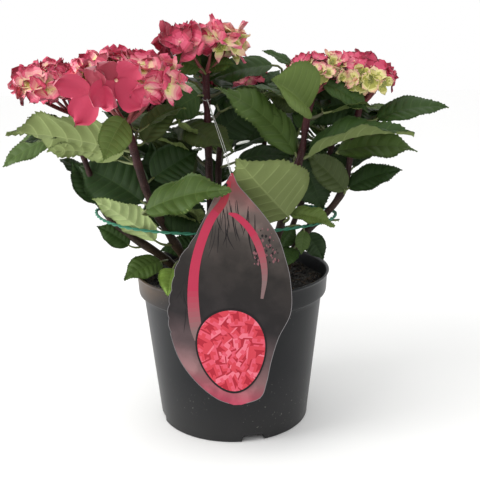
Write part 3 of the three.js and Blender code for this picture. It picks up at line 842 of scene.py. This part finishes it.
def potMaterial():
    material = principled("pot-plastic", potLook["colour"], 0.38, (650, 0.0002, 0.3), **specular(0.18))
    tree = material.node_tree
    place, x, z = spaceOf(tree)
    cloud = noise(tree, place, 9, 6)
    base = ramp(tree, cloud, [(0.3, (0.008, 0.009, 0.010)), (0.7, (0.015, 0.015, 0.017))])
    patch = mask(tree, place, 16, 4, 0.45, 0.62)
    speck = mask(tree, place, 330, 2, 0.68, 0.74)
    dusty = mixColours(tree, combine(tree, speck, patch), base, potLook["dust"])
    # brown dirt held on the collar, mostly on the left
    held = combine(tree, rescale(tree, z, 0.150, 0.172), rescale(tree, x, -0.030, -0.085))
    dirty = mixColours(tree, combine(tree, held, patch), dusty, potLook["dirt"])
    # the wall faintly lighter and greyer towards its foot, all round
    low = combine(tree, rescale(tree, z, 0.075, 0.010), 0.10)
    paint(tree, mixColours(tree, low, dirty, potLook["dust"]))
    paint(tree, rescale(tree, cloud, 0.0, 1.0, 0.30, 0.44), "Roughness")
    return material


def makePot():
    # outer skin from the foot up, over the rolled lip, and down the inside
    foot, shoulder = potLook["foot"], potLook["shoulder"]
    profile = [(0.0, 0.0035), (0.060, 0.0035), (0.080, 0.0030), (0.0845, 0.0)]
    profile += [(0.0870 + 0.0012 * math.sin(t), 0.0014 - 0.0014 * math.cos(t))
                for t in np.linspace(0.2, 1.5, 5)]
    profile += [(foot + (shoulder - foot) * w, 0.003 + (0.1515 - 0.003) * w) for w in np.linspace(0, 1, 40)]
    profile += [(0.1050, 0.1528), (0.1072, 0.1545), (0.1092, 0.1552), (0.1096, 0.1565), (0.1099, 0.1590)]
    profile += [(0.1102, 0.165), (0.1106, 0.170), (0.1110, 0.1752), (0.1114, 0.1768), (0.1122, 0.1776)]
    profile += [(0.1128, 0.1784), (0.1130, 0.1791), (0.1127, 0.1797), (0.1118, 0.1800), (0.1108, 0.1798)]
    profile += [(0.1100, 0.1790), (0.1094, 0.1770), (0.1086, 0.165), (0.1080, 0.1568), (0.1040, 0.1528)]
    profile += [(0.1025, 0.1510), (0.1015, 0.142), (0.0990, 0.120)]
    profile = np.array(profile)
    turns = np.linspace(0, 2 * math.pi, potLook["turns"], endpoint=False)
    r, z = profile[:, 0][:, None], profile[:, 1][:, None]
    gaps = 2 * math.pi / potLook["notchCount"]
    # one notch sits a little right of the front
    away = (turns - math.radians(potLook["notchTurn"]) + gaps / 2) % gaps - gaps / 2
    inNotch = np.clip(1 - np.abs(away[None, :]) * foot / potLook["notchHalf"], 0, 1) > 0.02
    outer = (r > 0.0840) & (z < 0.0205)
    rise = np.where(inNotch & outer & (z < potLook["notchHeight"]), 1, 0)
    rr = np.broadcast_to(r, (len(profile), len(turns))).copy() - rise * potLook["notchDepth"]
    zz = np.broadcast_to(z, rr.shape).copy() + rise * 0.0035
    points = np.stack([rr * np.cos(turns), rr * np.sin(turns), zz], axis=-1)
    heap = Heap()
    heap.put(points.reshape(-1, 3), ringFaces(*rr.shape), 0)
    settle(heap.mesh("pot_shell", {0: potMaterial()}), "pot", "pot")


peatLook = {
    "level": 0.166, "radius": 0.1082, "crumbs": 1500, "slope": -0.035,
    "tones": {"dark": (0.012, 0.010, 0.009), "fibre": (0.070, 0.045, 0.028),
              "brown": (0.028, 0.019, 0.013)},
}


def makePeatTop():
    rng = np.random.default_rng(71)
    rings, sides = 46, 120
    radii = np.linspace(0.0005, peatLook["radius"], rings)
    turns = np.linspace(0, 2 * math.pi, sides, endpoint=False)
    x = radii[:, None] * np.cos(turns)
    y = radii[:, None] * np.sin(turns)

    def relief(x, y):
        z = sum(np.sin(x * f + p) * np.cos(y * g + q) * h for f, g, p, q, h in [
            (90, 70, 0.3, 1.1, 0.0016), (210, 170, 2.0, 0.4, 0.0009), (460, 520, 0.9, 2.2, 0.0005)])
        return peatLook["level"] + peatLook["slope"] * x + z

    z = relief(x, y) + rng.normal(0, 0.0005, x.shape)
    heap = Heap()
    heap.put(np.stack([x, y, z], axis=-1).reshape(-1, 3), ringFaces(rings, sides)[:, [0, 3, 2, 1]], 0)
    # crumbs of peat and short bits of fibre
    for _ in range(peatLook["crumbs"]):
        angle, radius = rng.uniform(0, 2 * math.pi), 0.105 * math.sqrt(rng.random())
        cx, cy = radius * math.cos(angle), radius * math.sin(angle)
        size = rng.uniform(0.0008, 0.0030)
        spot = np.array([cx, cy, relief(cx, cy) + size * 0.3])
        long = rng.random() < 0.25
        way = unit(rng.normal(0, 1, 3) * [1, 1, 0.25]) * size * (2.6 if long else 0.9)
        wide = size * (0.22 if long else 0.8)
        heap.putTube([spot - way, spot - way * 0.3, spot + way * 0.4, spot + way],
                     [wide * 0.3, wide, wide * 0.9, wide * 0.3], 5,
                     1 if long else 0 if rng.random() < 0.6 else 2)
    materials = {n: principled(f"peat-{name}", colour, 0.9, (500, 0.001, 0.9))
                 for n, (name, colour) in enumerate(peatLook["tones"].items())}
    settle(heap.mesh("peat_top", materials, smooth=False), "peat", "peat")


cardLook = {
    "tip": (0.001, -0.092, 0.306), "lean": 10.5, "length": 0.241, "thickness": 0.0007,
    "scallops": 7, "scallopDepth": 0.0017, "hole": (-0.0065, 0.012, 0.0019),
    # half widths left and right of the middle line, at shares of the length (mm)
    "outline": [(0.00, 1, 1), (0.05, 8, 6), (0.10, 18, 16), (0.18, 28, 32), (0.27, 40, 46), (0.37, 57, 54),
                (0.47, 64, 59), (0.60, 69, 59), (0.71, 65, 46), (0.81, 56, 38), (0.90, 40, 33),
                (0.97, 20, 26), (1.00, 2, 6)],
    "ovalCentre": (-0.003, 0.184), "ovalHalf": (0.036, 0.043), "ovalLean": 12,
    # middle lines of the two ribbons: across, down, width (mm)
    "ribbonLeft": [(-3, 8, 5), (-9, 28, 8), (-22, 46, 9), (-32, 68, 9.5), (-39, 92, 10), (-42, 116, 11),
                   (-42, 138, 12), (-40, 158, 12), (-37, 172, 9)],
    "ribbonRight": [(-4, 41, 2), (5, 45, 6), (17, 57, 7), (26, 74, 7.5), (31, 92, 7), (32, 110, 5.5),
                    (29, 130, 3)],
    # grey end of the ribbons, their crimson, and the darker crimson near the upper point
    "ribbonTones": [(0.190, 0.120, 0.118), (0.390, 0.027, 0.065), (0.320, 0.028, 0.045)],
    "blossomTones": [(0.540, 0.045, 0.068), (0.620, 0.080, 0.125), (0.690, 0.150, 0.205),
                     (0.360, 0.016, 0.032), (0.820, 0.420, 0.440)],
    "ink": (0.010, 0.008, 0.009), "edge": (0.180, 0.170, 0.175), "speck": (0.200, 0.085, 0.095),
    "twigs": 40, "specks": 70, "blossoms": 30,
}


def cardPoint(x, s, up=0.0):
    # from card coordinates (across, down from its upper point) into the room
    lean = math.radians(cardLook["lean"])
    down = np.array([0, -math.sin(lean), -math.cos(lean)])
    out = np.array([0, -math.cos(lean), math.sin(lean)])
    x, s, up = np.broadcast_arrays(np.asarray(x, float), np.asarray(s, float), np.asarray(up, float))
    bow = -0.9 * (x / 0.069) ** 2 * 0.003
    return (np.array(cardLook["tip"]) + x[..., None] * np.array([1.0, 0, 0]) + s[..., None] * down
            + (up + bow)[..., None] * out)


def smoothAlong(values, places):
    # smooth curve through rows of numbers, by their running length
    values = np.array(values, float)
    run = np.linspace(0, 1, len(values))
    tangent = np.gradient(values, run, axis=0)
    k = np.clip(np.searchsorted(run, places, side="right") - 1, 0, len(values) - 2)
    h = run[1] - run[0]
    t = ((places - run[k]) / h)[:, None]
    return ((2 * t ** 3 - 3 * t ** 2 + 1) * values[k] + (t ** 3 - 2 * t ** 2 + t) * h * tangent[k]
            + (3 * t ** 2 - 2 * t ** 3) * values[k + 1] + (t ** 3 - t ** 2) * h * tangent[k + 1])


def cardTones():
    # plain printed tones: ten steps of ribbon from grey to crimson, then the rest
    grey, crimson, dark = (np.array(tone) for tone in cardLook["ribbonTones"])
    tones = {("ribbon", n): tuple(grey * (1 - n / 9) + crimson * n / 9) for n in range(10)}
    tones[("ribbon", 10)] = tuple(dark)
    for n, colour in enumerate(cardLook["blossomTones"]):
        tones[("flower", n)] = colour
    for key in ("ink", "edge", "speck"):
        tones[(key, 0)] = cardLook[key]
    return tones


def plateMaterial():
    # grey at the top, nearly black in the middle and crimson round the foot
    material = principled("card-ground", (0.030, 0.026, 0.026), 0.34, (160, 0.0001, 0.15), **specular(0.20))
    tree = material.node_tree
    place, x, z = spaceOf(tree)
    cloud = noise(tree, place, 42, 5)
    # the crimson rises higher on the left
    height = combine(tree, z, combine(tree, x, 0.25), "ADD")
    height = combine(tree, height, combine(tree, cloud, 0.016), "ADD")
    tone = ramp(tree, rescale(tree, height, 0.063, 0.318), [
        (0.00, (0.440, 0.045, 0.095)), (0.07, (0.400, 0.060, 0.100)), (0.16, (0.270, 0.140, 0.145)),
        (0.26, (0.110, 0.075, 0.078)), (0.38, (0.020, 0.017, 0.018)), (0.60, (0.026, 0.022, 0.020)),
        (0.74, (0.070, 0.058, 0.052)), (0.84, (0.165, 0.120, 0.108)), (0.90, (0.230, 0.100, 0.096)),
        (0.97, (0.360, 0.045, 0.070))])
    mottle = ramp(tree, cloud, [(0.42, (0.60, 0.60, 0.60)), (0.60, (1.15, 1.12, 1.12))])
    paint(tree, mixColours(tree, 0.7, tone, mottle, "MULTIPLY"))
    return material


def makeCardPiece():
    rng = np.random.default_rng(83)
    tones = cardTones()
    slotOf = {key: n for n, key in enumerate(tones)}
    ink = slotOf[("ink", 0)]
    materials = {slotOf[key]: principled(f"card-{key[0]}-{key[1]}", tone, 0.34, (160, 0.0001, 0.15),
                                         **specular(0.20)) for key, tone in tones.items()}
    heap = Heap()
    rows, columns = 150, 72
    s = np.linspace(0, 1, rows)
    outline = np.array(cardLook["outline"])
    smooth = smoothAlong(outline, np.linspace(0, 1, 400))
    left = np.interp(s, smooth[:, 0], smooth[:, 1]) / 1000
    right = np.interp(s, smooth[:, 0], smooth[:, 2]) / 1000
    part = (s > 0.25) & (s < 0.68)
    wave = np.abs(np.sin((s - 0.25) / 0.43 * math.pi * cardLook["scallops"]))
    left = left - np.where(part, (1 - wave ** 0.6) * cardLook["scallopDepth"], 0)
    u = np.linspace(-1, 1, columns)
    x = np.where(u[None, :] < 0, u[None, :] * left[:, None], u[None, :] * right[:, None])
    down = np.broadcast_to((s * cardLook["length"])[:, None], x.shape)
    front = cardPoint(x, down, cardLook["thickness"] / 2)
    back = cardPoint(x, down, -cardLook["thickness"] / 2)
    quads = gridFaces(rows, columns)
    plate = Heap()
    plate.put(front.reshape(-1, 3), quads, 0)
    plate.put(back.reshape(-1, 3), quads[:, ::-1], 0)
    # the cut edge, a thin light line all round
    for end in (0, columns - 1):
        strip = np.stack([front[:, end], back[:, end]], axis=1)
        plate.put(strip.reshape(-1, 3), gridFaces(rows, 2), 0)
        heap.putTube(front[1:-1, end], 0.00030, 5, slotOf[("edge", 0)])
    for end in (0, rows - 1):
        strip = np.stack([front[end], back[end]], axis=1)
        plate.put(strip.reshape(-1, 3), gridFaces(columns, 2), 0)

    def printGrid(x, down, up, slots):
        heap.put(cardPoint(x, down, up).reshape(-1, 3), gridFaces(*x.shape), slots)

    holeX, holeS, holeR = cardLook["hole"]
    turn = np.linspace(0, 2 * math.pi, 25)
    printGrid(holeX + np.outer([0, holeR], np.cos(turn)), holeS + np.outer([0, holeR], np.sin(turn)),
              cardLook["thickness"] / 2 + 0.0003, ink)
    lift = cardLook["thickness"] / 2 + 0.00012

    def printRibbon(rowsOfLine, toneAt, up):
        # toneAt: one slot, or a function of the share of the length
        line = smoothAlong(rowsOfLine, np.linspace(0, 1, 90)) / 1000
        way = np.gradient(line[:, :2], axis=0)
        way /= np.linalg.norm(way, axis=1, keepdims=True)
        side = np.stack([way[:, 1], -way[:, 0]], axis=1) * line[:, 2:3] / 2
        grid = np.stack([line[:, :2] - side, line[:, :2], line[:, :2] + side], axis=1)
        if callable(toneAt):
            toneAt = [toneAt(k) for k in np.repeat((np.arange(89) + 0.5) / 89, 2)]
        printGrid(grid[..., 0], grid[..., 1], up, toneAt)

    def onCard(x, along, margin=5):
        room = np.interp(along / 1000 / cardLook["length"], s, left if x < 0 else right)
        return (abs(x) + margin) / 1000 < room

    # dark twig-like shadows over the upper ground and down the left side
    for n in range(cardLook["twigs"]):
        low = n % 4 == 3
        x0 = rng.uniform(-58, -44) if low else rng.uniform(-30, 32)
        s0 = rng.uniform(84, 150) if low else rng.uniform(20, 60)
        slant, long = rng.uniform(-9, 9), rng.uniform(16, 44) * (0.6 if low else 1)
        thick = rng.uniform(0.4, 2.4 if n % 4 == 0 else 1.3) * (0.6 if low else 1)
        if onCard(x0, s0) and onCard(x0 + slant, s0 + long):
            printRibbon([(x0, s0, thick * 0.4), (x0 + slant * 0.3, s0 + long * 0.5, thick),
                         (x0 + slant, s0 + long, 0.2)], ink, lift)
    # small blurred specks on the right of the upper ground
    for n in range(cardLook["specks"]):
        x0, s0 = rng.uniform(22, 47), rng.uniform(56, 94)
        size = rng.uniform(0.6, 2.8)
        if onCard(x0, s0):
            printRibbon([(x0, s0, 0.1), (x0 + rng.uniform(-1, 1), s0 + size * 0.7, size),
                         (x0, s0 + size * 1.5, 0.1)],
                        slotOf[("speck", 0)] if n % 2 else ink, lift + 0.00004)

    def leftTone(k):
        step = 10 if k < 0.20 else int(np.clip(round(9 * (1 - (k - 0.64) / 0.28)), 0, 9))
        return slotOf[("ribbon", step)]

    def rightTone(k):
        return slotOf[("ribbon", int(np.clip(9 - 9 * (k - 0.40) / 0.5, 0, 9)))]

    printRibbon(cardLook["ribbonLeft"], leftTone, lift + 0.0001)
    printRibbon(cardLook["ribbonRight"], rightTone, lift + 0.0001)

    # an oval of printed blossom inside a dark line
    cx, cs = cardLook["ovalCentre"]
    hx, hs = cardLook["ovalHalf"]
    tilt = math.radians(cardLook["ovalLean"])

    def oval(angle, grow=1.0):
        ex, es = hx * grow * np.cos(angle), hs * grow * np.sin(angle)
        ex = ex * (1 - 0.16 * np.sin(angle))
        return cx + ex * math.cos(tilt) + es * math.sin(tilt) * 0.4, cs + es - ex * math.sin(tilt) * 0.3

    turn = np.linspace(0, 2 * math.pi, 97)
    petal = [slotOf[("flower", n)] for n in range(5)]
    printGrid(*oval(turn, np.array([[0.0], [0.35], [0.7], [1.0]])), lift + 0.0002, petal[3])
    level = lift + 0.00025
    for n in range(cardLook["blossoms"]):
        angle, out = n * 2.39996, 0.97 * math.sqrt((n + 0.5) / cardLook["blossoms"])
        fx, fs = hx * out * math.cos(angle), hs * out * math.sin(angle)
        start = rng.uniform(0, 1.6)
        for k in range(4):
            a = start + k * math.pi / 2 + rng.uniform(-0.15, 0.15)
            size = rng.uniform(0.0105, 0.0140)
            v = np.linspace(-1, 1, 9)
            w = np.linspace(0, 1, 9)[:, None]
            wide = v * size * 1.05 * np.sqrt(np.clip(w * (1.12 - w), 0, 1))
            px = fx + size * w * math.cos(a) - wide * math.sin(a)
            ps = fs + size * w * math.sin(a) + wide * math.cos(a)
            around, far = np.arctan2(ps / hs, px / hx), np.minimum(0.985, np.hypot(px / hx, ps / hs))
            px, ps = oval(around, far)
            level += 0.0000012
            tone = int(rng.choice([0, 1, 1, 2, 2]))
            # dark at the heart, lighter at the margin, with a darker middle line
            slot = np.full((8, 8), petal[tone])
            slot[:2] = petal[3]
            slot[2:4] = petal[0]
            slot[-1] = petal[min(4, tone + 2 - (tone == 2))]
            slot[3:6, 3:5] = petal[max(0, tone - 1)]
            printGrid(px, ps, level, slot.ravel())
    printGrid(*oval(turn, np.array([[0.985], [1.035]])), level + 0.0001, ink)
    settle(plate.mesh("card_plate", {0: plateMaterial()}, smooth=False), "card", "card")
    settle(heap.mesh("card_print", materials, smooth=False), "card")


tieLook = {"centre": (-0.018, 0.008), "halfWidth": 0.139, "halfDepth": 0.062, "left": 0.248, "front": 0.233,
           "right": 0.241, "strand": 0.00105, "twists": 34}


def makeTie():
    # two green strands turned about each other
    turns = np.linspace(0, 2 * math.pi, 420)
    side, front = np.cos(turns), np.maximum(0, -np.sin(turns))
    level = tieLook["right"] + (tieLook["left"] - tieLook["right"]) * (0.5 - 0.5 * side)
    z = level - (level - tieLook["front"]) * front
    path = np.stack([tieLook["centre"][0] + tieLook["halfWidth"] * side,
                     tieLook["centre"][1] + tieLook["halfDepth"] * np.sin(turns), z], axis=1)
    heap = Heap()
    for start in (0, math.pi):
        twist = turns * tieLook["twists"] + start
        outward = np.stack([side, np.sin(turns), np.zeros_like(side)], axis=1)
        offset = outward * np.cos(twist)[:, None] + np.array([0, 0, 1]) * np.sin(twist)[:, None]
        heap.putTube(path + offset * tieLook["strand"] * 0.9, tieLook["strand"], 7, 0)
    material = principled("tie-strand", (0.016, 0.150, 0.085), 0.5, (900, 0.0003, 0.6))
    settle(heap.mesh("green_tie", {0: material}), "tie", "tie_loop")


threadLook = {
    "radius": 0.00035, "knot": (-0.0250, -0.0170, 0.376), "end": (0.0, -0.0935, 0.3035),
    "sag": 0.010, "bow": 0.004, "apart": 0.0011,
    # middle line and radii of the clasp
    "clasp": [(0.006, -0.072, 0.333), (0.010, -0.073, 0.3345), (0.017, -0.074, 0.336),
              (0.020, -0.074, 0.3365)],
    "claspRadii": [0.0008, 0.0016, 0.0015, 0.0006],
}


def makeThreadPiece():
    # a clear thread goes round the middle stem and down to the card, doubled
    heap = Heap()
    middle = onStem("centre", threadLook["knot"][2])
    around = np.linspace(0, 2 * math.pi, 26)
    radius = stemRadius("centre", threadLook["knot"][2]) + 0.0007
    ring = np.stack([radius * np.cos(around), radius * np.sin(around), 0.002 * np.sin(around)], axis=1)
    heap.putTube(middle + ring, threadLook["radius"], 6, 0)
    knot, end = np.array(threadLook["knot"]), np.array(threadLook["end"])
    k = np.linspace(0, 1, 40)
    for apart in (-threadLook["apart"], threadLook["apart"]):
        line = knot + (end - knot) * k[:, None]
        line[:, 2] -= threadLook["sag"] * np.sin(math.pi * k) * (1 - 0.4 * k)
        line[:, 0] += apart * np.sin(math.pi * k) + threadLook["bow"] * np.sin(math.pi * k)
        heap.putTube(line, threadLook["radius"], 6, 0)
    # the small moulded clasp that closes the thread
    heap.putTube(threadLook["clasp"], threadLook["claspRadii"], 10, 0)
    material = principled("thread-clear", (0.62, 0.64, 0.60), 0.25, (900, 0.0002, 0.2),
                          **{"Transmission Weight": 0.3})
    settle(heap.mesh("clear_thread", {0: material}), "thread", "card_thread")


# room, light and camera
viewLook = {
    "place": (0.0, -0.893, 0.438), "pitch": 14.2, "turn": -0.0104, "tilt": -0.0129,
    "lens": 59.25, "sensor": 36,
    "world": (1.0, 1.0, 1.0), "worldStrength": 1.0, "exposure": 0.0,
    "floorHalf": 6.0, "floorTone": (0.985, 0.985, 0.98),
    # name, place, aim, size, power and colour
    "lamps": [("key", (-0.9, -0.7, 1.5), (0, 0, 0.25), 0.9, 8.0, (1.0, 0.98, 0.95)),
              ("side", (-1.15, -0.35, 0.34), (0, 0, 0.12), 0.5, 8.0, (1, 1, 1))],
}


def setRoom():
    scene = bpy.context.scene
    steps = np.linspace(-viewLook["floorHalf"], viewLook["floorHalf"], 13)
    x, y = np.meshgrid(steps, steps, indexing="ij")
    heap = Heap()
    heap.put(np.stack([x, y, np.full_like(x, -0.0004)], axis=-1).reshape(-1, 3), gridFaces(13, 13), 0)
    floor = heap.mesh("pale_floor", {0: principled("floor-pale", viewLook["floorTone"], 0.95)})
    world = bpy.data.worlds.new("room")
    scene.world = world
    world.use_nodes = True
    back = world.node_tree.nodes["Background"]
    back.inputs["Color"].default_value = (*viewLook["world"], 1)
    back.inputs["Strength"].default_value = viewLook["worldStrength"]

    for name, place, aim, size, power, colour in viewLook["lamps"]:
        data = bpy.data.lights.new(name, "AREA")
        data.size = size
        data.energy = power
        data.color = colour
        light = bpy.data.objects.new(name, data)
        scene.collection.objects.link(light)
        light.location = place
        light.rotation_euler = (Vector(aim) - Vector(place)).to_track_quat("-Z", "Y").to_euler()
    scene.view_settings.view_transform = "Standard"
    scene.view_settings.exposure = viewLook["exposure"]

    data = bpy.data.cameras.new("camera")
    data.lens = viewLook["lens"]
    data.sensor_width = viewLook["sensor"]
    camera = bpy.data.objects.new("camera", data)
    scene.collection.objects.link(camera)
    turned = (Matrix.Rotation(viewLook["turn"], 4, "Z")
              @ Matrix.Rotation(math.radians(90 - viewLook["pitch"]), 4, "X")
              @ Matrix.Rotation(viewLook["tilt"], 4, "Z"))
    camera.matrix_world = Matrix.Translation(viewLook["place"]) @ turned
    scene.camera = camera
    print("room set")


makePot()
makePeatTop()
print("pot and peat made")
growStems()
growLeaves()
growHeads()
makeCardPiece()
makeTie()
makeThreadPiece()
print("card, tie and thread made")
setRoom()
